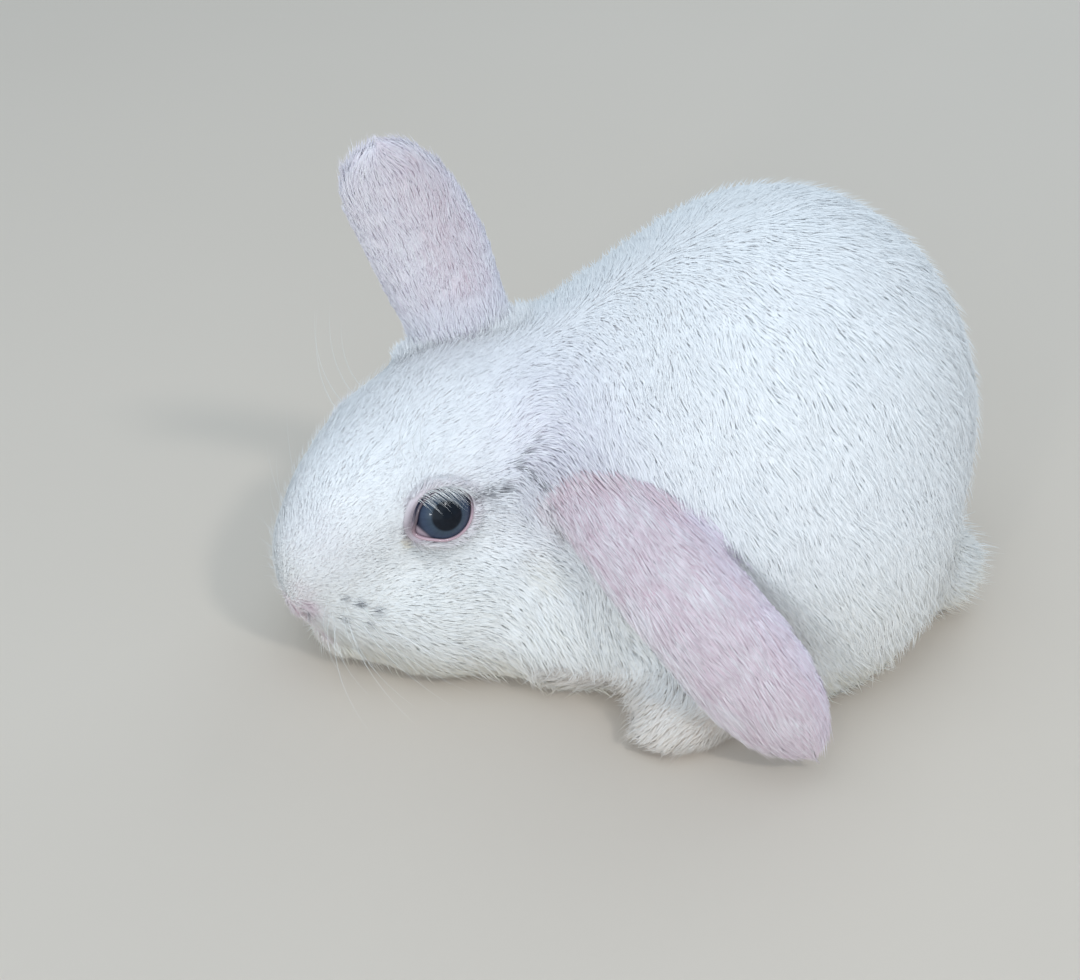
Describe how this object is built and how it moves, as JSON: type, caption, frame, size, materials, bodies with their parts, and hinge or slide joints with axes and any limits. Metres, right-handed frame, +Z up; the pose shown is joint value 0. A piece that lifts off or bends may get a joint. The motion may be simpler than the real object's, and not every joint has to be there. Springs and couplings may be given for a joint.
{
  "type": "young lop rabbit, still model",
  "caption": "Life-size white lop rabbit crouched on its belly with its chin down, one ear raised and one hanging.",
  "frame": {"origin": "centre of the bounding box at the floor", "axes": "the rabbit faces -Y, its left side is +X, +Z is up"},
  "size_m": [0.1364, 0.1694, 0.1281],
  "materials": {
    "head": "dense soft white fur",
    "neck": "dense soft white fur",
    "trunk": "dense soft white fur",
    "tail": "fluffy white fur",
    "foreleg_left": "short white fur",
    "foreleg_right": "short white fur",
    "hindleg_left": "white fur, fringed at the foot",
    "hindleg_right": "white fur, fringed at the foot",
    "ear_left": "pink skin under thin short white fur",
    "ear_right": "pink skin under thin short white fur",
    "eye_left": "wet blue-grey eye",
    "eye_right": "wet blue-grey eye"
  },
  "bodies": {
    "root": {"head": "head", "neck": "neck", "trunk": "trunk", "tail": "tail", "foreleg_left": "foreleg_left", "foreleg_right": "foreleg_right", "hindleg_left": "hindleg_left", "hindleg_right": "hindleg_right", "ear_left": "ear_left", "ear_right": "ear_right", "eye_left": "eye_left", "eye_right": "eye_right"}
  },
  "joints": []
}
